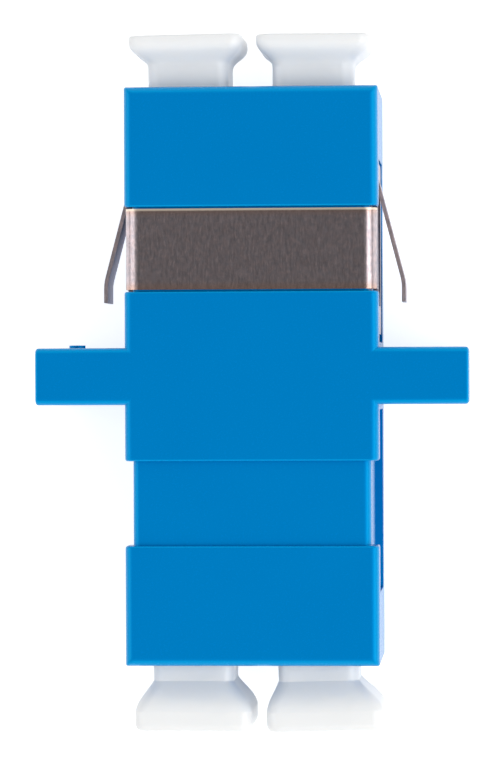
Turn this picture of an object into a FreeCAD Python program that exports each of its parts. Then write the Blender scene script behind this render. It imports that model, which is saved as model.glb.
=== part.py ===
import FreeCAD, Part
import math
import operator
import os

import Sketcher

# Duplex LC fibre adapter in an SC-size flanged housing, with a sprung panel clip and dust caps.
# Millimetres. X runs along the flange, Y along the fibres (+Y is the half with the clip) and
# Z up. The adapter lies on its latch-side wide face at z = 0. The origin is the middle of that
# face, in the plane halfway between the two plugs.

SIZES = {
    # Housing, moulded in one piece
    "body_width": 12.9,
    "body_height": 9.3,
    "body_length": 29.4,
    "edge_round": 0.45,
    "corner_round": 0.1,
    "flange_width": 22.0,
    "flange_thickness": 2.9,
    "flange_round": 0.35,
    "ear_round": 0.15,
    "screw_inset": 2.0,
    "screw_hole": 2.3,
    "gate_diameter": 0.83,
    "gate_height": 0.15,
    "gate_inset": 1.6,
    # Seats for the clip, the same on both halves
    "groove_start": 4.3,
    "groove_width": 4.3,
    "groove_depth": 0.25,
    "groove_corner": 0.4,
    "groove_round": 0.12,
    "recess_start": 1.72,
    "recess_end": 11.05,
    "recess_depth": 0.4,
    "recess_low": 2.3,
    "recess_lip": 1.8,
    # Plug ports
    "port_pitch": 6.25,
    "port_size": 4.65,
    "port_corner": 0.3,
    "port_roof": 1.15,
    "port_lead_in": 0.25,
    "keyway_width": 3.3,
    "latch_wall": 1.0,
    "latch_ledge": 1.9,
    "latch_window": 2.2,
    "web_thickness": 1.0,
    # Sleeve holders, one pressed against each side of the web in each port
    "holder_fit": 0.02,
    "holder_plate": 1.2,
    "barrel_diameter": 2.9,
    "barrel_chamfer": 0.2,
    "barrel_lip": 0.47,
    "eye_throat": 1.4,
    "eye_mouth": 1.85,
    "snap_width": 1.8,
    "snap_length": 0.7,
    "snap_height": 0.6,
    "snap_step": 0.2,
    "snap_start": 0.35,
    "snap_play": 0.08,
    # Zirconia alignment sleeves
    "sleeve_bore": 1.246,
    "sleeve_wall": 0.187,
    "sleeve_length": 6.8,
    "sleeve_slot": 0.35,
    "sleeve_float": 0.03,
    # Panel clip, folded from one sheet
    "clip_sheet": 0.2,
    "clip_bend": 0.65,
    "clip_play": 0.14,
    "strap_play": 0.1,
    "wing_play": 0.05,
    "wing_start": 2.15,
    "wing_end_play": 0.15,
    "wing_corner": 0.6,
    "tab_root": 10.1,
    "tab_tip": 3.8,
    "tab_flat": 1.03,
    "tab_reach": 1.38,
    "tab_width": 2.7,
    "tab_bend": 2.4,
    "tab_slit": 0.2,
    # Dust caps
    "cap_play": 0.26,
    "cap_shank": 4.5,
    "cap_draft": 2.0,
    "cap_bead": 0.7,
    "cap_bead_play": 0.12,
    "cap_wall": 0.75,
    "cap_top": 1.1,
    "cap_dimple": 2.4,
    "cap_dimple_depth": 0.12,
    # The caps of the two ends come from two moulds
    "clip_end_gap": 0.45,
    "clip_end_corner": 0.6,
    "clip_end_neck": 1.04,
    "clip_end_flare": 1.3,
    "clip_end_rim": 0.35,
    "clip_end_round": 0.15,
    "plain_end_gap": 0.28,
    "plain_end_corner": 0.6,
    "plain_end_neck": 0.85,
    "plain_end_flare": 1.5,
    "plain_end_rim": 1.0,
    "plain_end_round": 0.35,
}

# How each dust cap sits in its port: its shift towards +X and the lean of its head towards +X,
# as shares of what the bead's play and the neck's play allow, and how far its soft head is
# pressed towards +X, as a share of the head's overhang.
CAP_SEATS = {
    "left_clip_end": (-0.85, -0.12, -0.1),
    "right_clip_end": (-0.2, 0.0, 0.05),
    "left_plain_end": (0.1, 0.0, 0.05),
    "right_plain_end": (0.8, 0.2, 0.34),
}

# How each mould's flare opens out: (share of its length, share of its spread) between its ends.
CAP_FLARES = {
    "clip_end": [(0.25, 0.1), (0.65, 0.76)],
    "plain_end": [(0.35, 0.42), (0.72, 0.84)],
}

# Two places closer than this are the same place.
CLOSE = 1e-4

OPERATORS = {"+": operator.add, "-": operator.sub, "*": operator.mul, "/": operator.truediv}


class Length:
    """A size worked out from the sheet: its expression for the document, and its value."""

    def __init__(self, text, value):
        self.text = text
        self.value = value

    @classmethod
    def of(cls, item):
        return item if isinstance(item, Length) else cls(str(item), float(item))

    def combine(self, sign, other):
        other = Length.of(other)
        return Length(f"({self.text} {sign} {other.text})", OPERATORS[sign](self.value, other.value))

    def __add__(self, other):
        return self.combine("+", other)

    def __sub__(self, other):
        return self.combine("-", other)

    def __mul__(self, other):
        return self.combine("*", other)

    def __truediv__(self, other):
        return self.combine("/", other)

    def __neg__(self):
        return Length(f"(-{self.text})", -self.value)


def half_tangent(rise, run):
    """Tangent of half the angle of a slope: the mitre of a sheet bent by that slope."""
    angle = math.atan(rise.value / run.value)
    return Length(f"tan(atan({rise.text} / {run.text}) / 2)", math.tan(angle / 2))


def slope_angle(rise, run):
    """Angle of a slope, in degrees."""
    angle = math.degrees(math.atan(rise.value / run.value))
    return Length(f"(atan({rise.text} / {run.text}) / (1 deg))", angle)


class Sizes:
    """The driving sizes, held in the document's sheet and read here as lengths."""

    def __init__(self, doc, values):
        sheet = doc.addObject("Spreadsheet::Sheet", "sizes")
        for row, (name, value) in enumerate(values.items(), start=1):
            sheet.set(f"A{row}", name)
            sheet.set(f"B{row}", str(value))
            sheet.setAlias(f"B{row}", name)
            setattr(self, name, Length(f"sizes.{name}", value))


doc = FreeCAD.newDocument("lc_adapter")
SEATS = {
    f"{name}_{where}": value
    for where, seat in CAP_SEATS.items() for name, value in zip(("shift", "lean", "bend"), seat)
}
S = Sizes(doc, {**SIZES, **SEATS})
doc.recompute()

HALF_WIDTH = S.body_width / 2
HALF_LENGTH = S.body_length / 2
HALF_WEB = S.web_thickness / 2
HALF_FLANGE = S.flange_thickness / 2
SCREW_X = S.flange_width / 2 - S.screw_inset
PORT_X = S.port_pitch / 2
PORT_Z = S.body_height - S.port_roof - S.port_size / 2
PORT_LOW = S.body_height - S.port_roof - S.port_size
SEAT_X = HALF_WIDTH - S.recess_depth
SEAT_Z = S.body_height - S.groove_depth
RECESS_HIGH = S.body_height - S.recess_lip
CLIP_X = SEAT_X + S.clip_play
# A cutting profile runs this far past the outside of the solid that it cuts.
PAST = S.recess_depth * 2


# Sketches -------------------------------------------------------------------------------------

def new_body(name):
    body = doc.addObject("PartDesign::Body", name)
    body.Label = name
    return body


def origin_plane(body, role):
    return next(item for item in body.Origin.OriginFeatures if item.Role == role)


def new_sketch(body, name, role, offset=None):
    """A sketch on one of the body's origin planes, moved along the plane's normal."""
    sketch = body.newObject("Sketcher::SketchObject", f"{body.Name}_{name}")
    sketch.AttachmentSupport = [(origin_plane(body, role), "")]
    sketch.MapMode = "FlatFace"
    if offset is not None:
        sketch.setExpression("AttachmentOffset.Base.z", offset.text)
    return sketch


def across(body, name, along):
    """A sketch across the fibre axis at a given Y; its own axes are +X and +Z."""
    return new_sketch(body, name, "XZ_Plane", -Length.of(along))


def constrain(sketch, kind, distance, *where):
    """Adds one dimension to a sketch and ties it to the sheet."""
    index = sketch.addConstraint(Sketcher.Constraint(kind, *where, distance.value))
    sketch.setExpression(f"Constraints[{index}]", distance.text)


def pin_point(sketch, edge, end, point):
    """Fixes one end of a sketch edge at a point measured from the sketch's origin."""
    constrain(sketch, "DistanceX", Length.of(point[0]), -1, 1, edge, end)
    constrain(sketch, "DistanceY", Length.of(point[1]), -1, 1, edge, end)


def polygon(sketch, points):
    """A closed outline of straight edges through the given points."""
    points = [(Length.of(x), Length.of(y)) for x, y in points]
    first = sketch.GeometryCount
    count = len(points)
    ends = [FreeCAD.Vector(x.value, y.value, 0) for x, y in points]
    for number in range(count):
        line = Part.LineSegment(ends[number], ends[(number + 1) % count])
        sketch.addGeometry(line, False)
    for number in range(count):
        following = (number + 1) % count
        joint = Sketcher.Constraint("Coincident", first + number, 2, first + following, 1)
        sketch.addConstraint(joint)
    for number, point in enumerate(points):
        pin_point(sketch, first + number, 1, point)


def rectangle(sketch, left, right, low, high):
    polygon(sketch, [(left, low), (right, low), (right, high), (left, high)])


def rounded_rectangle(sketch, middle, width, height, radius):
    """A rectangle about a point, with its corners rounded by tangent arcs."""
    x, y = Length.of(middle[0]), Length.of(middle[1])
    half_x, half_y = width / 2, height / 2
    first = sketch.GeometryCount
    corners = [(1, -1), (1, 1), (-1, 1), (-1, -1)]
    r = radius.value
    for number, (side, end) in enumerate(corners):
        centre = FreeCAD.Vector(x.value + side * (half_x.value - r), y.value + end * (half_y.value - r), 0)
        start = math.radians(-90 + 90 * number)
        circle = Part.Circle(centre, FreeCAD.Vector(0, 0, 1), r)
        sketch.addGeometry(Part.ArcOfCircle(circle, start, start + math.pi / 2), False)
    for number in range(4):
        arc = sketch.Geometry[first + number]
        following = sketch.Geometry[first + (number + 1) % 4]
        sketch.addGeometry(Part.LineSegment(arc.EndPoint, following.StartPoint), False)
    for number in range(4):
        line = first + 4 + number
        sketch.addConstraint(Sketcher.Constraint("Tangent", first + number, 2, line, 1))
        sketch.addConstraint(Sketcher.Constraint("Tangent", line, 2, first + (number + 1) % 4, 1))
        kind = "Vertical" if number % 2 == 0 else "Horizontal"
        sketch.addConstraint(Sketcher.Constraint(kind, line))
    for number in range(1, 4):
        sketch.addConstraint(Sketcher.Constraint("Equal", first, first + number))
    constrain(sketch, "Radius", radius, first)
    constrain(sketch, "DistanceX", x + half_x, -1, 1, first + 4, 1)
    constrain(sketch, "DistanceX", x - half_x, -1, 1, first + 6, 1)
    constrain(sketch, "DistanceY", y + half_y, -1, 1, first + 5, 1)
    constrain(sketch, "DistanceY", y - half_y, -1, 1, first + 7, 1)


def circle(sketch, middle, diameter):
    """A circle about a point."""
    point = (Length.of(middle[0]), Length.of(middle[1]))
    centre = FreeCAD.Vector(point[0].value, point[1].value, 0)
    round_edge = Part.Circle(centre, FreeCAD.Vector(0, 0, 1), diameter.value / 2)
    number = sketch.addGeometry(round_edge, False)
    pin_point(sketch, number, 3, point)
    constrain(sketch, "Diameter", diameter, number)


# Features -------------------------------------------------------------------------------------

def feature(body, kind, name, sketch, length=None, side="One side", reverse=False):
    """A Pad or a Pocket of a sketch; with no length it goes through everything."""
    made = body.newObject(f"PartDesign::{kind}", f"{body.Name}_{name}")
    made.Profile = sketch
    made.SideType = side
    made.Reversed = reverse
    if length is None:
        made.Type = "ThroughAll"
    else:
        made.setExpression("Length", length.text)
    return made


def pad(body, name, sketch, length, **options):
    return feature(body, "Pad", name, sketch, length, **options)


def pocket(body, name, sketch, length=None, **options):
    return feature(body, "Pocket", name, sketch, length, **options)


def turned(body, kind, name, sketch):
    """A Revolution or a Groove of a sketch about its own vertical axis."""
    made = body.newObject(f"PartDesign::{kind}", f"{body.Name}_{name}")
    made.Profile = sketch
    made.ReferenceAxis = (sketch, ["V_Axis"])
    made.Angle = 360
    return made


def mirrored(body, name, originals, role):
    """Repeats features on the other side of one of the body's origin planes."""
    made = body.newObject("PartDesign::Mirrored", f"{body.Name}_{name}")
    made.Originals = originals
    made.MirrorPlane = (origin_plane(body, role), [""])
    body.Tip = made
    return made


def near(value, *targets):
    return any(abs(value - Length.of(target).value) < CLOSE for target in targets)


def runs_along(edge, axis):
    """Whether an edge's two ends differ along one axis only."""
    if len(edge.Vertexes) < 2:
        return False
    step = edge.Vertexes[1].Point - edge.Vertexes[0].Point
    return abs(getattr(step, axis)) > step.Length - CLOSE


def edges_where(base, test, along):
    """Names of a feature's edges whose ends pass a test on their position.

    With an axis, only edges that run along it count.
    """
    doc.recompute()
    names = []
    for number, edge in enumerate(base.Shape.Edges, start=1):
        if along and not runs_along(edge, along):
            continue
        if all(test(vertex.Point) for vertex in edge.Vertexes):
            names.append(f"Edge{number}")
    if not names:
        raise ValueError(f"no edge of {base.Name} passes the test")
    return names


def soften(body, kind, name, base, size, test, along=None):
    """A Fillet or a Chamfer on the edges of a feature that pass a test."""
    made = body.newObject(f"PartDesign::{kind}", f"{body.Name}_{name}")
    made.Base = (base, edges_where(base, test, along))
    made.setExpression("Radius" if kind == "Fillet" else "Size", size.text)
    return made


def place(body, x=0, y=0, z=0, turn=0):
    """Binds a body's Placement: its position, and its turn about Z in degrees."""
    body.Placement = FreeCAD.Placement(FreeCAD.Vector(), FreeCAD.Rotation(FreeCAD.Vector(0, 0, 1), 1))
    for axis, distance in (("x", x), ("y", y), ("z", z)):
        body.setExpression(f"Placement.Base.{axis}", Length.of(distance).text)
    body.setExpression("Placement.Rotation.Angle", Length.of(turn).text)


# Housing --------------------------------------------------------------------------------------

def housing_block(body):
    """The straight block, with the long and end edges of its two wide faces rounded."""
    outline = across(body, "block_outline", 0)
    rectangle(outline, -HALF_WIDTH, HALF_WIDTH, 0, S.body_height)
    block = pad(body, "block", outline, S.body_length, side="Symmetric")
    corners = soften(
        body, "Fillet", "upright_edges", block, S.corner_round,
        lambda p: near(abs(p.x), HALF_WIDTH) and near(abs(p.y), HALF_LENGTH), along="z",
        )
    return soften(
        body, "Fillet", "wide_face_edges", corners, S.edge_round,
        lambda p: near(p.z, 0, S.body_height)
        )


def housing_flange(body):
    """The flange that stops against the panel: a bar with rounded long edges and eased ends."""
    outline = new_sketch(body, "flange_outline", "YZ_Plane")
    middle = (0, S.body_height / 2)
    rounded_rectangle(outline, middle, S.flange_thickness, S.body_height, S.flange_round)
    flange = pad(body, "flange", outline, S.flange_width, side="Symmetric")
    return soften(
        body, "Fillet", "ear_ends", flange, S.ear_round,
        lambda p: near(abs(p.x), S.flange_width / 2)
        )


def clip_seat(body):
    """The shallow groove round three faces and the recess down each narrow side."""
    recess = across(body, "recess_outline", S.recess_start)
    rectangle(recess, SEAT_X, HALF_WIDTH + PAST, S.recess_low, RECESS_HIGH)
    rectangle(recess, -HALF_WIDTH - PAST, -SEAT_X, S.recess_low, RECESS_HIGH)
    recess_cut = pocket(body, "recess", recess, S.recess_end - S.recess_start)

    groove = across(body, "groove_outline", S.groove_start)
    outer = HALF_WIDTH + PAST
    top = S.body_height + PAST
    polygon(groove, [
        (outer, RECESS_HIGH), (outer, top), (-outer, top), (-outer, RECESS_HIGH),
        (-SEAT_X, RECESS_HIGH), (-SEAT_X, SEAT_Z), (SEAT_X, SEAT_Z), (SEAT_X, RECESS_HIGH),
        ])
    groove_cut = pocket(body, "groove", groove, S.groove_width)
    return [recess_cut, groove_cut]


def plug_ports(body):
    """The two square ports of one end, each with its latch keyway, window and snap slot."""
    port = across(body, "port_outline", HALF_WEB)
    keyway = across(body, "keyway_outline", HALF_WEB)
    window = across(body, "window_outline", HALF_LENGTH - S.latch_ledge - S.latch_window)
    slot = across(body, "snap_slot_outline", HALF_WEB + S.snap_start)
    slot_half = S.snap_width / 2 + S.snap_play
    for x in (-PORT_X, PORT_X):
        rounded_rectangle(port, (x, PORT_Z), S.port_size, S.port_size, S.port_corner)
        rectangle(keyway, x - S.keyway_width / 2, x + S.keyway_width / 2, S.latch_wall, PORT_Z)
        rectangle(window, x - S.port_size / 2, x + S.port_size / 2, -PAST, PORT_Z)
        rectangle(slot, x - slot_half, x + slot_half, -PAST, S.latch_wall + S.snap_play)
    return [
        pocket(body, "ports", port),
        pocket(body, "keyways", keyway),
        pocket(body, "latch_windows", window, S.latch_window),
        pocket(body, "snap_slots", slot, S.snap_length + S.snap_play),
        ]


def make_housing():
    body = new_body("adapter_housing")
    housing_block(body)
    housing_flange(body)
    halves = clip_seat(body) + plug_ports(body)
    both_ends = mirrored(body, "both_ends", halves, "XZ_Plane")

    groove_corners = soften(
        body, "Fillet", "groove_corners", both_ends, S.groove_corner,
        lambda p: near(abs(p.x), SEAT_X) and near(p.z, SEAT_Z), along="y",
        )
    groove_rims = soften(
        body, "Fillet", "groove_rims", groove_corners, S.groove_round,
        lambda p: near(p.z, S.body_height) and near(abs(p.y), S.groove_start, S.groove_start + S.groove_width),
        along="x",
        )
    mouths = soften(
        body, "Chamfer", "port_lead_ins", groove_rims, S.port_lead_in,
        lambda p: near(abs(p.y), HALF_LENGTH)
        and abs(abs(p.x) - PORT_X.value) < S.port_size.value / 2 + CLOSE
        and abs(p.z - PORT_Z.value) < S.port_size.value / 2 + CLOSE
        )
    body.Tip = mouths

    web_hole = across(body, "web_hole_outline", 0)
    screw_hole = across(body, "screw_hole_outline", 0)
    for side in (-1, 1):
        circle(web_hole, (PORT_X * side, PORT_Z), S.barrel_diameter + S.holder_fit * 2)
        circle(screw_hole, (SCREW_X * side, S.body_height / 2), S.screw_hole)
    pocket(body, "web_holes", web_hole, S.web_thickness, side="Symmetric")
    pocket(body, "screw_holes", screw_hole, S.flange_thickness, side="Symmetric")

    gate = across(body, "gate_outline", HALF_FLANGE)
    circle(gate, (-SCREW_X, S.body_height - S.gate_inset), S.gate_diameter)
    body.Tip = pad(body, "gate_mark", gate, S.gate_height, reverse=True)
    return body


# Sleeve holders and sleeves -------------------------------------------------------------------

def make_holder(name, side, end):
    """A sleeve holder: a plate that fits the port, with a barrel through it and a snap foot.

    It is drawn about the fibre axis, from the plane between the plugs outwards along +Y.
    """
    body = new_body(name)
    plate_size = S.port_size - S.holder_fit * 2
    plate = across(body, "plate_outline", HALF_WEB)
    rounded_rectangle(plate, (0, 0), plate_size, plate_size, S.port_corner)
    pad(body, "plate", plate, S.holder_plate, reverse=True)

    foot_half = S.keyway_width / 2 - S.holder_fit
    foot_low = S.latch_wall - PORT_Z + S.holder_fit
    foot = across(body, "foot_outline", HALF_WEB)
    rectangle(foot, -foot_half, foot_half, foot_low, -S.barrel_diameter / 2)
    pad(body, "foot", foot, S.holder_plate, reverse=True)

    snap = new_sketch(body, "snap_outline", "YZ_Plane")
    snap_start = HALF_WEB + S.snap_start
    polygon(snap, [
        (snap_start, foot_low), (snap_start, foot_low - S.snap_step),
        (snap_start + S.snap_length, foot_low - S.snap_height), (snap_start + S.snap_length, foot_low),
        ])
    pad(body, "snap", snap, S.snap_width, side="Symmetric")

    chamber = S.sleeve_bore / 2 + S.sleeve_wall + S.sleeve_float
    chamber_end = S.sleeve_length / 2 + S.sleeve_float
    reach = chamber_end + S.barrel_lip
    radius = S.barrel_diameter / 2
    chamfer = S.barrel_chamfer
    barrel = new_sketch(body, "barrel_section", "XY_Plane")
    polygon(barrel, [(0, 0), (radius, 0), (radius, reach - chamfer), (radius - chamfer, reach), (0, reach)])
    turned(body, "Revolution", "barrel", barrel)

    throat, mouth = S.eye_throat / 2, S.eye_mouth / 2
    bore = new_sketch(body, "bore_section", "XY_Plane")
    polygon(bore, [
        (0, -PAST), (chamber, -PAST), (chamber, chamber_end), (throat, chamber_end),
        (mouth, reach), (mouth, reach + PAST), (0, reach + PAST),
        ])
    body.Tip = turned(body, "Groove", "bore", bore)
    place(body, x=PORT_X * side, z=PORT_Z, turn=0 if end > 0 else 180)
    return body


def make_sleeve(name, side):
    """A split ceramic sleeve that lines the two ferrules up."""
    body = new_body(name)
    ring = across(body, "ring", 0)
    circle(ring, (0, 0), S.sleeve_bore)
    circle(ring, (0, 0), S.sleeve_bore + S.sleeve_wall * 2)
    pad(body, "tube", ring, S.sleeve_length, side="Symmetric")
    slot = across(body, "slot_outline", 0)
    rectangle(slot, -S.sleeve_slot / 2, S.sleeve_slot / 2, 0, S.sleeve_bore)
    body.Tip = pocket(body, "slot", slot, S.sleeve_length, side="Symmetric")
    place(body, x=PORT_X * side, z=PORT_Z)
    return body


# Panel clip -----------------------------------------------------------------------------------

def clip_strap(body):
    """The strap over the wide face and down both narrow sides, with its two bends rounded."""
    inner, outer = CLIP_X, CLIP_X + S.clip_sheet
    low = S.recess_low + S.wing_play
    top = SEAT_Z + S.clip_sheet
    section = across(body, "strap_section", S.groove_start + S.strap_play)
    polygon(section, [
        (-outer, low), (-inner, low), (-inner, SEAT_Z), (inner, SEAT_Z),
        (inner, low), (outer, low), (outer, top), (-outer, top),
        ])
    strap = pad(body, "strap", section, S.groove_width - S.strap_play * 2, reverse=True)
    outer_bends = soften(
        body, "Fillet", "outer_bends", strap, S.clip_bend,
        lambda p: near(abs(p.x), outer) and near(p.z, top), along="y",
        )
    return soften(
        body, "Fillet", "inner_bends", outer_bends, S.clip_bend - S.clip_sheet,
        lambda p: near(abs(p.x), inner) and near(p.z, SEAT_Z), along="y",
        )


def clip_side(body):
    """One side: the wing that sits behind the housing's lips, and the tab lanced out of it."""
    low = S.recess_low + S.wing_play
    high = RECESS_HIGH - S.wing_play
    wing_end = S.recess_end - S.wing_end_play
    middle_z = (low + high) / 2
    wing = new_sketch(body, "wing_outline", "YZ_Plane", CLIP_X)
    middle = ((S.wing_start + wing_end) / 2, middle_z)
    rounded_rectangle(wing, middle, wing_end - S.wing_start, high - low, S.wing_corner)
    plate = pad(body, "wing", wing, S.clip_sheet)

    outer = CLIP_X + S.clip_sheet
    slit_half = S.tab_width / 2 + S.tab_slit
    window = new_sketch(body, "tab_window", "YZ_Plane", outer)
    rectangle(window, S.tab_tip - S.tab_slit, S.tab_root, middle_z - slit_half, middle_z + slit_half)
    window_cut = pocket(body, "window", window, S.clip_sheet)

    bend = S.tab_tip + S.tab_flat
    mitre = S.clip_sheet * half_tangent(S.tab_reach, S.tab_root - bend)
    reach = outer + S.tab_reach
    strip = new_sketch(body, "tab_section", "XY_Plane", middle_z - S.tab_width / 2)
    polygon(strip, [
        (CLIP_X, S.tab_root - mitre), (reach - S.clip_sheet, bend - mitre),
        (reach - S.clip_sheet, S.tab_tip), (reach, S.tab_tip), (reach, bend),
        (outer, S.tab_root), (outer, S.tab_root + S.clip_sheet), (CLIP_X, S.tab_root + S.clip_sheet),
        ])
    tab = pad(body, "tab", strip, S.tab_width)
    return [plate, window_cut, tab]


def make_clip():
    body = new_body("panel_clip")
    clip_strap(body)
    sides = mirrored(body, "both_sides", clip_side(body), "YZ_Plane")
    bend = S.tab_tip + S.tab_flat
    reach = CLIP_X + S.clip_sheet + S.tab_reach
    outer_bends = soften(
        body, "Fillet", "tab_outer_bends", sides, S.tab_bend,
        lambda p: near(abs(p.x), reach) and near(p.y, bend), along="z",
        )
    mitre = S.clip_sheet * half_tangent(S.tab_reach, S.tab_root - bend)
    body.Tip = soften(
        body, "Fillet", "tab_inner_bends", outer_bends, S.tab_bend - S.clip_sheet,
        lambda p: near(abs(p.x), reach - S.clip_sheet) and near(p.y, bend - mitre), along="z",
        )
    return body


# Dust caps ------------------------------------------------------------------------------------

def cap_flare(body, start, length, neck, head, corner, bend, shape):
    """The flare from the neck to the bent head, lofted through the sections of its shape."""
    sections = []
    for number, (share, spread) in enumerate([(0, 0), *shape, (1, 1)]):
        width = neck + (head - neck) * spread
        section = across(body, f"flare_{number}", start + length * share)
        rounded_rectangle(section, (bend * spread, 0), width, width, corner)
        sections.append(section)
    flare = body.newObject("PartDesign::AdditiveLoft", f"{body.Name}_flare")
    flare.Profile = sections[0]
    flare.Sections = sections[1:]


def make_cap(side_name, side, end_name, end):
    """A moulded plug cap, drawn about the middle of its bead, outwards along +Y.

    The bead grips the port, and the cap leans about it as far as its neck's play allows.
    """
    where = f"{side_name}_{end_name}"
    body = new_body(f"dust_cap_{where}")
    gap, corner, neck_length, flare_length, rim, edge_round = (
        getattr(S, f"{end_name}_{part}") for part in ("gap", "corner", "neck", "flare", "rim", "round")
        )
    neck = S.port_size - S.cap_play * 2
    head = S.port_pitch - gap
    bead_depth = S.cap_shank / 2
    flare_start = bead_depth + neck_length
    flare_end = flare_start + flare_length
    top = flare_end + rim

    shank = across(body, "shank_outline", 0)
    rounded_rectangle(shank, (0, 0), neck, neck, corner)
    pad(body, "neck", shank, flare_start, reverse=True)
    tip = across(body, "tip_outline", 0)
    rounded_rectangle(tip, (0, 0), neck, neck, corner)
    shank_tip = pad(body, "shank", tip, S.cap_shank - bead_depth)
    shank_tip.setExpression("TaperAngle", (-S.cap_draft).text)

    bead_size = S.port_size - S.cap_bead_play * 2
    bead_stand = S.cap_play - S.cap_bead_play
    bead = across(body, "bead_outline", 0)
    rounded_rectangle(bead, (0, 0), bead_size, bead_size, corner)
    bead_pad = pad(body, "bead", bead, S.cap_bead, side="Symmetric")
    soften(
        body, "Fillet", "bead_round", bead_pad, bead_stand / 2,
        lambda p: near(abs(p.y), S.cap_bead / 2)
        and max(abs(p.x), abs(p.z)) > bead_size.value / 2 - CLOSE
        )

    bend = (head - neck) / 2 * getattr(S, f"bend_{where}") * end
    cap_flare(body, flare_start, flare_length, neck, head, corner, bend, CAP_FLARES[end_name])
    rim_outline = across(body, "rim_outline", flare_end)
    rounded_rectangle(rim_outline, (bend, 0), head, head, corner)
    rim_pad = pad(body, "rim", rim_outline, rim, reverse=True)
    soften(body, "Fillet", "rim_round", rim_pad, edge_round, lambda p: near(p.y, top))

    core_size = neck - S.cap_wall * 2
    core = across(body, "core_outline", -bead_depth)
    rounded_rectangle(core, (0, 0), core_size, core_size, corner / 2)
    pocket(body, "core", core, bead_depth + top - S.cap_top)
    dimple = across(body, "dimple_outline", top - S.cap_dimple_depth)
    circle(dimple, (bend, 0), S.cap_dimple)
    body.Tip = pocket(body, "dimple", dimple)

    shift = S.cap_bead_play * getattr(S, f"shift_{where}")
    lean = slope_angle(S.cap_play, bead_depth) * getattr(S, f"lean_{where}")
    place(body, x=PORT_X * side + shift, y=(HALF_LENGTH - bead_depth) * end, z=PORT_Z,
          turn=-lean if end > 0 else lean + 180)
    return body


# The set --------------------------------------------------------------------------------------

def make_all():
    bodies = [make_housing(), make_clip()]
    for side_name, side in (("left", -1), ("right", 1)):
        bodies.append(make_sleeve(f"alignment_sleeve_{side_name}", side))
        for end_name, end in (("clip_end", 1), ("plain_end", -1)):
            bodies.append(make_holder(f"sleeve_holder_{side_name}_{end_name}", side, end))
            bodies.append(make_cap(side_name, side, end_name, end))
    return bodies


def check(bodies):
    """Stops if anything in the document failed, or a sub-part isn't one sound solid."""
    doc.recompute()
    for item in doc.Objects:
        if "Invalid" in item.State or "Error" in item.State:
            raise RuntimeError(f"{item.Name} failed: {item.State}")
        if item.isDerivedFrom("PartDesign::Feature") and not item.Shape.isValid():
            raise RuntimeError(f"{item.Name} isn't a sound solid")
    for body in bodies:
        shape = body.Shape
        if shape.isNull() or not shape.isValid() or len(shape.Solids) != 1:
            raise RuntimeError(f"{body.Label} isn't one valid solid")


def export(bodies):
    os.makedirs("parts", exist_ok=True)
    for body in bodies:
        body.Shape.exportStep(f"parts/{body.Label}.step")
        print(f"{body.Label}: {body.Shape.Volume:.3f} mm3")


sub_parts = make_all()
check(sub_parts)
export(sub_parts)
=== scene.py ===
"""Looks of the duplex fibre adapter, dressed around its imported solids.

The adapter lies on the latch-side wide face: X runs along the flange, Y along the fibres with
the clip's half at +Y, and Z is up. Everything is in metres.
"""

import logging
import math
from dataclasses import dataclass, field
from enum import Enum

import bpy
from mathutils import Matrix, Vector


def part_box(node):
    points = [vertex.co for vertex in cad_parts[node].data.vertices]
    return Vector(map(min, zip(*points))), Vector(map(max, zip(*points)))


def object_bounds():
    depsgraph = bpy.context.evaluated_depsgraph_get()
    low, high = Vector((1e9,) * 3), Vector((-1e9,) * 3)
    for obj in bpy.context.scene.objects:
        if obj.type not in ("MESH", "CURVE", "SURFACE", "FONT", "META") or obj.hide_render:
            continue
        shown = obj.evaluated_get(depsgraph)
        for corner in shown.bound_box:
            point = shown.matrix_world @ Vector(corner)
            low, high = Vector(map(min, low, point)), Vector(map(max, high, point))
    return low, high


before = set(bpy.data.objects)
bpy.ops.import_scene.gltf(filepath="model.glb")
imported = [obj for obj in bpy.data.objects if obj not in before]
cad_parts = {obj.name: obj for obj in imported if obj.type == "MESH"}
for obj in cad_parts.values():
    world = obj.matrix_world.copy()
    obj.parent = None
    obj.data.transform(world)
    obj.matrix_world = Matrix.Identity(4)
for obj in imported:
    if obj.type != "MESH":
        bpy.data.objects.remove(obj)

CAD_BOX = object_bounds()
LOG = logging.getLogger("adapter")
MM = 0.001

Colour = tuple[float, float, float, float]


class Side(Enum):
    """The two fibre channels."""

    LEFT = "left"
    RIGHT = "right"


class End(Enum):
    """The two ends of the housing."""

    CLIP = "clip_end"
    PLAIN = "plain_end"


# Node helpers ---------------------------------------------------------------------------------


def linear(code: str) -> Colour:
    """Turns an sRGB hex value into a linear colour.

    Args:
        code: Six hex digits, red first.

    Returns:
        Linear red, green and blue, and an alpha of 1.
    """
    parts = [int(code[place:place + 2], 16) / 255 for place in (0, 2, 4)]
    levels = [c / 12.92 if c <= 0.04045 else ((c + 0.055) / 1.055) ** 2.4 for c in parts]
    return (*levels, 1.0)


def add_node(
    tree: bpy.types.NodeTree, kind: str, inputs: dict | None = None, **settings: object,
) -> bpy.types.Node:
    """Adds a node with its settings and links.

    Args:
        tree: The node tree that the node joins.
        kind: The node's type name, without the ShaderNode in front of it.
        inputs: For each input, by name or number, a value or the socket that feeds it.
        settings: The node's own properties.

    Returns:
        The new node.
    """
    node = tree.nodes.new(f"ShaderNode{kind}")
    for name, value in settings.items():
        setattr(node, name, value)
    for name, value in (inputs or {}).items():
        if isinstance(value, bpy.types.NodeSocket):
            tree.links.new(value, node.inputs[name])
        else:
            node.inputs[name].default_value = value
    return node


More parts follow.
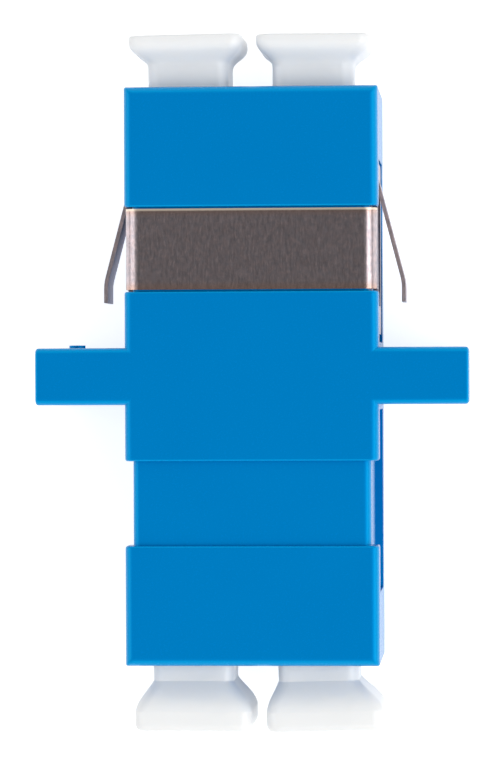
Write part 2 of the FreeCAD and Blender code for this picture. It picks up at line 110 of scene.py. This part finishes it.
def new_tree(
    name: str,
) -> tuple[bpy.types.Material, bpy.types.NodeTree, bpy.types.Node, bpy.types.Node]:
    """Makes an empty material.

    Args:
        name: The material's name.

    Returns:
        The material, its tree, its output node, and its texture coordinate node.
    """
    material = bpy.data.materials.new(name)
    material.use_nodes = True
    tree = material.node_tree
    tree.nodes.clear()
    return material, tree, add_node(tree, "OutputMaterial"), add_node(tree, "TexCoord")


# Finishes -------------------------------------------------------------------------------------


@dataclass(frozen=True)
class MouldedPbt:
    """PBT, injection moulded in a spark-eroded tool.

    The tool's fine pitting gives a soft sheen, and the skin sinks a little where the wall behind
    it is thick, so long reflections waver. The rounded edges of the wide faces get a painted
    highlight: a lighter blue stands in for the brighter side light that falls on them.

    The real pits are about 0.02 mm wide, too fine to show, so the grain is drawn coarser.
    """

    name: str
    colour: str
    deep_colour: str
    # The lighter blue of the painted highlight on the rounded edges.
    painted_edge_highlight: str
    roughness: float = 0.26
    roughness_spread: float = 0.06
    ior: float = 1.57
    grain_mm: float = 0.09
    grain_depth_mm: float = 0.0014
    sink_mm: float = 5.0
    sink_depth_mm: float = 0.012
    sheen_tint: str = "00A6FF"
    # Tilts at which the painted edge highlight fades in and out.
    highlight_tilts: tuple[float, float, float, float] = (0.12, 0.4, 0.86, 0.995)

    def painted_highlight_mask(
        self, tree: bpy.types.NodeTree, normal: bpy.types.NodeSocket,
    ) -> bpy.types.NodeSocket:
        """Finds the rounded edges of the wide faces, by how far the surface tilts from them.

        Args:
            tree: The material's tree.
            normal: The surface's normal in the solid's own axes.

        Returns:
            A socket that is 1 where the edge highlight is painted, on the rounded edges and on
            sloping lead-ins, and 0 on every level or upright face.
        """
        tilt = add_node(tree, "SeparateXYZ", {"Vector": normal}).outputs["Z"]
        upright = add_node(tree, "Math", {0: tilt}, operation="ABSOLUTE").outputs["Value"]
        low, low_full, high_full, high = self.highlight_tilts
        ramps = [
            add_node(tree, "MapRange", {
                "Value": upright, "From Min": start, "From Max": end,
            }, interpolation_type="SMOOTHSTEP").outputs["Result"]
            for start, end in ((low, low_full), (high, high_full))
        ]
        mask = add_node(tree, "Math", {0: ramps[0], 1: ramps[1]}, operation="MULTIPLY")
        return mask.outputs["Value"]

    def make(self) -> bpy.types.Material:
        """Builds the material."""
        material, tree, output, place = new_tree(self.name)
        spot = place.outputs["Object"]
        flow = add_node(tree, "TexNoise", {
            "Vector": spot, "Scale": 1 / (self.sink_mm * MM), "Detail": 3.0,
        })
        grain = add_node(tree, "TexNoise", {
            "Vector": spot, "Scale": 1 / (self.grain_mm * MM), "Detail": 2.0,
        })
        pigment = add_node(tree, "Mix", {
            "Factor": flow.outputs["Fac"], "A": linear(self.colour), "B": linear(self.deep_colour),
        }, data_type="RGBA")
        # Painted highlight: the rounded edges get a lighter blue for the brighter side light on them.
        lit = add_node(tree, "Mix", {
            "Factor": self.painted_highlight_mask(tree, place.outputs["Normal"]), "A": pigment.outputs["Result"],
            "B": linear(self.painted_edge_highlight),
        }, data_type="RGBA")
        roughness = add_node(tree, "MapRange", {
            "Value": grain.outputs["Fac"], "To Min": self.roughness - self.roughness_spread,
            "To Max": self.roughness + self.roughness_spread,
        })
        sunk = add_node(tree, "Bump", {
            "Height": flow.outputs["Fac"], "Distance": self.sink_depth_mm * MM,
        })
        pitted = add_node(tree, "Bump", {
            "Height": grain.outputs["Fac"], "Distance": self.grain_depth_mm * MM,
            "Normal": sunk.outputs["Normal"],
        })
        surface = add_node(tree, "BsdfPrincipled", {
            "Base Color": lit.outputs["Result"], "Roughness": roughness.outputs["Result"],
            "IOR": self.ior, "Specular Tint": linear(self.sheen_tint),
            "Normal": pitted.outputs["Normal"],
        })
        tree.links.new(surface.outputs["BSDF"], output.inputs["Surface"])
        return material


@dataclass(frozen=True)
class BrushedSpringSteel:
    """Stainless spring steel strip, cold rolled, brushed along the fibres and left bare.

    The brushing leaves short streaks along Y and a fine mottle of cool and warm tints. The shear
    drags a rough burr up along one edge of the strap, which gets a painted highlight as a light
    line, and heat leaves a straw tint beside both its edges. Below the strap the metal was lanced
    and bent, and it is rougher there.

    Real brush lines are about 0.02 mm apart, too fine to show, so the streaks are drawn coarser.
    The edges are the strap's lowest and highest Y, and its finish ends at the floor's Z.
    """

    name: str
    edge_low: float
    edge_high: float
    strap_floor: float
    steel: str = "CAB8B9"
    cool: str = "B2AAB0"
    straw: str = "C9AA9F"
    # Light colour of the painted highlight along the burr.
    burr_highlight: str = "E6DAC8"
    roughness: float = 0.26
    formed_roughness: float = 0.42
    streak_mm: float = 0.11
    streak_length_mm: float = 0.55
    streak_depth_mm: float = 0.0035
    mottle_mm: float = 0.28
    tint_mm: float = 0.5
    burr_mm: float = 0.14
    mottle_range: tuple[float, float] = (0.35, 0.65)
    streak_range: tuple[float, float] = (0.3, 0.7)
    streak_shade: tuple[float, float] = (0.68, 1.18)

    def make(self) -> bpy.types.Material:
        """Builds the material."""
        material, tree, output, place = new_tree(self.name)
        spot = place.outputs["Object"]
        across, along = 1 / (self.streak_mm * MM), 1 / (self.streak_length_mm * MM)
        stretched = add_node(tree, "Mapping", {"Vector": spot, "Scale": (across, along, across)})
        streaks = add_node(tree, "TexNoise", {
            "Vector": stretched.outputs["Vector"], "Scale": 1.0, "Detail": 5.0, "Roughness": 0.75,
        }).outputs["Fac"]
        mottle = add_node(tree, "TexNoise", {
            "Vector": spot, "Scale": 1 / (self.mottle_mm * MM), "Detail": 4.0, "Roughness": 0.7,
        }).outputs["Fac"]

        axes = add_node(tree, "SeparateXYZ", {"Vector": spot}).outputs
        tint, burr_highlight, floor = self.tint_mm * MM, self.burr_mm * MM, self.strap_floor
        # Each band is full at its first place along the axis and gone at its second.
        bands = {
            "low_tint": ("Y", self.edge_low, self.edge_low + tint),
            "high_tint": ("Y", self.edge_high, self.edge_high - tint),
            "formed": ("Z", floor, floor + tint),
            "strap": ("Z", floor + tint, floor),
            "burr_highlight_band": ("Y", self.edge_high - burr_highlight / 2, self.edge_high - burr_highlight),
        }
        fade = {
            name: add_node(tree, "MapRange", {
                "Value": axes[axis], "From Min": full, "From Max": gone, "To Min": 1.0, "To Max": 0.0,
            }, interpolation_type="SMOOTHSTEP").outputs["Result"]
            for name, (axis, full, gone) in bands.items()
        }
        sheared = add_node(tree, "Math", {
            0: fade["low_tint"], 1: fade["high_tint"],
        }, operation="MAXIMUM").outputs["Value"]
        tinted = add_node(tree, "Math", {
            0: sheared, 1: fade["strap"],
        }, operation="MULTIPLY").outputs["Value"]
        burr_and_highlight = add_node(tree, "Math", {
            0: fade["burr_highlight_band"], 1: fade["strap"],
        }, operation="MULTIPLY").outputs["Value"]

        blotched = add_node(tree, "MapRange", {
            "Value": mottle, "From Min": self.mottle_range[0], "From Max": self.mottle_range[1],
        }).outputs["Result"]
        bare = add_node(tree, "Mix", {
            "Factor": blotched, "A": linear(self.steel), "B": linear(self.cool),
        }, data_type="RGBA").outputs["Result"]
        warmed = add_node(tree, "Mix", {
            "Factor": tinted, "A": bare, "B": linear(self.straw),
        }, data_type="RGBA").outputs["Result"]
        shade = add_node(tree, "MapRange", {
            "Value": streaks, "From Min": self.streak_range[0], "From Max": self.streak_range[1],
            "To Min": self.streak_shade[0], "To Max": self.streak_shade[1],
        }).outputs["Result"]
        toned = add_node(tree, "VectorMath", {
            0: warmed, "Scale": shade,
        }, operation="SCALE").outputs["Vector"]
        # Painted highlight: the burr along the high edge gets a light colour for its bright
        # reflection, and it is rougher there too.
        colour = add_node(tree, "Mix", {
            "Factor": burr_and_highlight, "A": toned, "B": linear(self.burr_highlight),
        }, data_type="RGBA").outputs["Result"]
        worked = add_node(tree, "Math", {
            0: burr_and_highlight, 1: fade["formed"],
        }, operation="MAXIMUM").outputs["Value"]
        roughness = add_node(tree, "MapRange", {
            "Value": worked, "To Min": self.roughness, "To Max": self.formed_roughness,
        }).outputs["Result"]
        brushed = add_node(tree, "Bump", {
            "Height": streaks, "Distance": self.streak_depth_mm * MM,
        }).outputs["Normal"]
        surface = add_node(tree, "BsdfPrincipled", {
            "Base Color": colour, "Metallic": 1.0, "Roughness": roughness, "Normal": brushed,
        })
        tree.links.new(surface.outputs["BSDF"], output.inputs["Surface"])
        return material


@dataclass(frozen=True)
class MouldedLdpe:
    """Natural white LDPE, moulded soft.

    It is waxy and lets a little light in, and its skin has slow waves where it shrank in the
    tool, which bend the highlights.
    """

    name: str
    colour: str = "F4F5F5"
    roughness: float = 0.3
    rougher: float = 0.08
    smoother: float = 0.05
    ior: float = 1.51
    darkest_tone: float = 0.96
    wave_mm: float = 1.7
    wave_depth_mm: float = 0.06
    skin_mm: float = 0.25
    skin_depth_mm: float = 0.0025
    glow_share: float = 0.7
    glow_mm: float = 1.1
    glow_reach: tuple[float, float, float] = (1.0, 0.95, 0.9)

    def make(self) -> bpy.types.Material:
        """Builds the material."""
        material, tree, output, place = new_tree(self.name)
        spot = place.outputs["Object"]
        waves = add_node(tree, "TexNoise", {
            "Vector": spot, "Scale": 1 / (self.wave_mm * MM), "Detail": 1.5, "Distortion": 0.6,
        })
        skin = add_node(tree, "TexNoise", {
            "Vector": spot, "Scale": 1 / (self.skin_mm * MM), "Detail": 3.0,
        })
        tone = add_node(tree, "MapRange", {
            "Value": waves.outputs["Fac"], "To Min": self.darkest_tone, "To Max": 1.0,
        })
        colour = add_node(tree, "VectorMath", {
            0: linear(self.colour)[:3], "Scale": tone.outputs["Result"],
        }, operation="SCALE")
        roughness = add_node(tree, "MapRange", {
            "Value": skin.outputs["Fac"], "To Min": self.roughness - self.smoother,
            "To Max": self.roughness + self.rougher,
        })
        waved = add_node(tree, "Bump", {
            "Height": waves.outputs["Fac"], "Distance": self.wave_depth_mm * MM,
        })
        skinned = add_node(tree, "Bump", {
            "Height": skin.outputs["Fac"], "Distance": self.skin_depth_mm * MM,
            "Normal": waved.outputs["Normal"],
        })
        surface = add_node(tree, "BsdfPrincipled", {
            "Base Color": colour.outputs["Vector"], "Roughness": roughness.outputs["Result"],
            "IOR": self.ior, "Subsurface Weight": self.glow_share,
            "Subsurface Scale": self.glow_mm * MM, "Subsurface Radius": self.glow_reach,
            "Normal": skinned.outputs["Normal"],
        })
        tree.links.new(surface.outputs["BSDF"], output.inputs["Surface"])
        return material


@dataclass(frozen=True)
class GroundZirconia:
    """Zirconia, sintered and centreless ground to size.

    It is a dense ivory white with a hard gloss, and the wheel leaves faint rings round it. The
    real rings are about 0.01 mm apart, too fine to show, so they are drawn coarser.
    """

    name: str
    colour: str = "F2EEE4"
    roughness: float = 0.14
    ior: float = 2.1
    darkest_tone: float = 0.95
    cloud_mm: float = 0.6
    ring_mm: float = 0.12
    ring_depth_mm: float = 0.0008

    def make(self) -> bpy.types.Material:
        """Builds the material."""
        material, tree, output, place = new_tree(self.name)
        spot = place.outputs["Object"]
        rings = add_node(tree, "TexWave", {
            "Vector": spot, "Scale": 1 / (self.ring_mm * MM * math.tau),
            "Distortion": 1.5, "Detail": 2.0,
        }, bands_direction="Y")
        cloud = add_node(tree, "TexNoise", {"Vector": spot, "Scale": 1 / (self.cloud_mm * MM)})
        tone = add_node(tree, "MapRange", {
            "Value": cloud.outputs["Fac"], "To Min": self.darkest_tone, "To Max": 1.0,
        })
        colour = add_node(tree, "VectorMath", {
            0: linear(self.colour)[:3], "Scale": tone.outputs["Result"],
        }, operation="SCALE")
        ground = add_node(tree, "Bump", {
            "Height": rings.outputs["Fac"], "Distance": self.ring_depth_mm * MM,
        })
        surface = add_node(tree, "BsdfPrincipled", {
            "Base Color": colour.outputs["Vector"], "Roughness": self.roughness, "IOR": self.ior,
            "Normal": ground.outputs["Normal"],
        })
        tree.links.new(surface.outputs["BSDF"], output.inputs["Surface"])
        return material


# Sub-assemblies -------------------------------------------------------------------------------


def dress(name: str, material: bpy.types.Material) -> None:
    """Gives a solid its finish.

    Args:
        name: The solid's node.
        material: The finish for its whole surface.
    """
    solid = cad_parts[name]
    for slot in solid.material_slots:
        slot.material = material
    LOG.info("%s: %s", name, material.name)


@dataclass
class Housing:
    """The flanged housing, moulded in one piece, with the sleeve holders pressed into it."""

    # The edge colours are painted highlights on the rounded edges of the wide faces.
    body_finish: MouldedPbt = field(default_factory=lambda: MouldedPbt(
        "blue_pbt", colour="0080C6", deep_colour="007CC2", painted_edge_highlight="0099DA"))
    holder_finish: MouldedPbt = field(default_factory=lambda: MouldedPbt(
        "deep_blue_pbt", colour="0077BD", deep_colour="0070B4", painted_edge_highlight="0088CC",
        roughness=0.4))

    def build(self) -> None:
        """Dresses the housing and its four holders."""
        dress("adapter_housing", self.body_finish.make())
        material = self.holder_finish.make()
        for side in Side:
            for end in End:
                dress(f"sleeve_holder_{side.value}_{end.value}", material)


@dataclass
class Sleeves:
    """The two split sleeves inside the holders."""

    finish: GroundZirconia = field(default_factory=lambda: GroundZirconia("ground_zirconia"))

    def build(self) -> None:
        """Dresses both sleeves."""
        material = self.finish.make()
        for side in Side:
            dress(f"alignment_sleeve_{side.value}", material)


@dataclass
class PanelClip:
    """The folded steel clip: a strap over the wide face, a wing and a sprung tab each side."""

    node: str = "panel_clip"
    face_slack_mm: float = 0.05
    bend_depth_mm: float = 1.5

    def strap_edges(self) -> tuple[float, float]:
        """Finds the strap's two sheared edges.

        Returns:
            The lowest and highest Y of the strap over the wide face.
        """
        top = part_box(self.node)[1].z - self.face_slack_mm * MM
        strap = [v.co.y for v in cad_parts[self.node].data.vertices if v.co.z > top]
        return min(strap), max(strap)

    def build(self) -> None:
        """Dresses the clip."""
        low, high = self.strap_edges()
        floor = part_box(self.node)[1].z - self.bend_depth_mm * MM
        dress(self.node, BrushedSpringSteel("brushed_spring_steel", low, high, floor).make())


@dataclass
class DustCaps:
    """The four pull-off caps."""

    finish: MouldedLdpe = field(default_factory=lambda: MouldedLdpe("white_ldpe"))

    def build(self) -> None:
        """Dresses the four caps."""
        material = self.finish.make()
        for side in Side:
            for end in End:
                dress(f"dust_cap_{side.value}_{end.value}", material)


# Studio ---------------------------------------------------------------------------------------


@dataclass
class Lamp:
    """A rectangular soft light aimed at the adapter.

    Its brightness is what a mirror would show, with 1 as white.
    """

    name: str
    direction: tuple[float, float, float]
    width: float
    height: float
    brightness: float
    distance: float = 0.6

    def build(self, target: Vector) -> None:
        """Adds the lamp.

        Args:
            target: The point that it faces.
        """
        data = bpy.data.lights.new(self.name, "AREA")
        data.shape = "RECTANGLE"
        data.size, data.size_y = self.width, self.height
        data.energy = self.brightness * math.pi * self.width * self.height
        lamp = bpy.data.objects.new(self.name, data)
        bpy.context.scene.collection.objects.link(lamp)
        out = Vector(self.direction).normalized()
        lamp.location = target + out * self.distance
        lamp.rotation_mode = "QUATERNION"
        lamp.rotation_quaternion = out.to_track_quat("Z", "Y")


@dataclass
class Studio:
    """A pale floor in a light tent whose top has a dark opening for the camera."""

    camera_height: float = 0.184
    camera_aside: float = 0.012
    view_height: float = 0.03864
    aim_y: float = -0.0003
    roll_degrees: float = -0.237
    floor_size: float = 1.6
    floor_colour: str = "E6E7E8"
    floor_glow: float = 0.7
    floor_gap_mm: float = 0.01
    card_fibre_mm: float = 0.8
    card_relief_mm: float = 0.01
    wall_level: float = 0.88
    opening_level: float = 0.13
    opening_degrees: float = 21.0
    opening_softness: float = 0.06
    seen_range: tuple[float, float] = (0.01, 10.0)
    lamps: list[Lamp] = field(default_factory=lambda: [
        Lamp("key", (0.62, -0.26, 0.62), 0.5, 0.5, 2.4),
        Lamp("fill", (-0.8, 0.0, 0.55), 0.4, 0.45, 1.1),
    ])

    def build_floor(self) -> None:
        """Lays the floor: matt pale card that stays bright behind the adapter and in its gloss."""
        half = self.floor_size / 2
        mesh = bpy.data.meshes.new("floor")
        corners = [(x * half, y * half, 0) for x, y in ((-1, -1), (1, -1), (1, 1), (-1, 1))]
        mesh.from_pydata(corners, [], [(0, 1, 2, 3)])
        floor = bpy.data.objects.new("floor", mesh)
        # The gap keeps the floor and the adapter's lowest face from lying in one plane.
        floor.location.z = CAD_BOX[0].z - self.floor_gap_mm * MM
        bpy.context.scene.collection.objects.link(floor)

        material, tree, output, place = new_tree("pale_card")
        fibre = add_node(tree, "TexNoise", {
            "Vector": place.outputs["Object"], "Scale": 1 / (self.card_fibre_mm * MM),
        })
        pressed = add_node(tree, "Bump", {
            "Height": fibre.outputs["Fac"], "Distance": self.card_relief_mm * MM,
        })
        matt = add_node(tree, "BsdfDiffuse", {
            "Color": linear(self.floor_colour), "Normal": pressed.outputs["Normal"],
        })
        rays = add_node(tree, "LightPath").outputs
        seen = add_node(tree, "Math", {
            0: rays["Is Camera Ray"], 1: rays["Is Glossy Ray"],
        }, operation="ADD")
        shown = add_node(tree, "Math", {
            0: seen.outputs["Value"], 1: rays["Is Transmission Ray"],
        }, operation="ADD", use_clamp=True)
        strength = add_node(tree, "Math", {
            0: shown.outputs["Value"], 1: self.floor_glow,
        }, operation="MULTIPLY")
        glow = add_node(tree, "Emission", {"Strength": strength.outputs["Value"]})
        both = add_node(tree, "AddShader", {0: matt.outputs["BSDF"], 1: glow.outputs["Emission"]})
        tree.links.new(both.outputs["Shader"], output.inputs["Surface"])
        mesh.materials.append(material)

    def build_tent(self) -> None:
        """Lights the world as a white tent with a dark opening overhead."""
        world = bpy.data.worlds.new("light_tent")
        bpy.context.scene.world = world
        world.use_nodes = True
        tree = world.node_tree
        tree.nodes.clear()
        place = add_node(tree, "TexCoord")
        up = add_node(tree, "SeparateXYZ", {"Vector": place.outputs["Generated"]}).outputs["Z"]
        edge = math.cos(math.radians(self.opening_degrees))
        level = add_node(tree, "MapRange", {
            "Value": up, "From Min": edge - self.opening_softness,
            "From Max": edge + self.opening_softness,
            "To Min": self.wall_level, "To Max": self.opening_level,
        }, interpolation_type="SMOOTHSTEP")
        light = add_node(tree, "Background", {"Strength": level.outputs["Result"]})
        output = add_node(tree, "OutputWorld")
        tree.links.new(light.outputs["Background"], output.inputs["Surface"])

    def build_camera(self) -> None:
        """Sets the camera above the adapter, a little to its +X side."""
        top = CAD_BOX[1].z
        data = bpy.data.cameras.new("camera")
        away = math.hypot(self.camera_height, self.camera_aside)
        data.lens = data.sensor_width * away / self.view_height
        data.clip_start, data.clip_end = self.seen_range
        camera = bpy.data.objects.new("camera", data)
        bpy.context.scene.collection.objects.link(camera)
        bpy.context.scene.camera = camera
        place = Vector((self.camera_aside, self.aim_y, top + self.camera_height))
        turn = Matrix.Rotation(math.atan2(self.camera_aside, self.camera_height), 4, "Y")
        roll = Matrix.Rotation(math.radians(self.roll_degrees), 4, "Z")
        camera.matrix_world = Matrix.Translation(place) @ turn @ roll

    def build(self) -> None:
        """Builds the floor, the tent, the lamps and the camera."""
        self.build_floor()
        self.build_tent()
        centre = (CAD_BOX[0] + CAD_BOX[1]) / 2
        for lamp in self.lamps:
            lamp.build(centre)
        self.build_camera()
        bpy.context.scene.view_settings.view_transform = "Standard"


def main() -> None:
    """Builds the sub-assemblies and the studio in order."""
    logging.basicConfig(level=logging.INFO, format="%(message)s")
    for part in (Housing(), Sleeves(), PanelClip(), DustCaps(), Studio()):
        part.build()
        LOG.info("%s built", type(part).__name__)


if __name__ == "__main__":
    main()
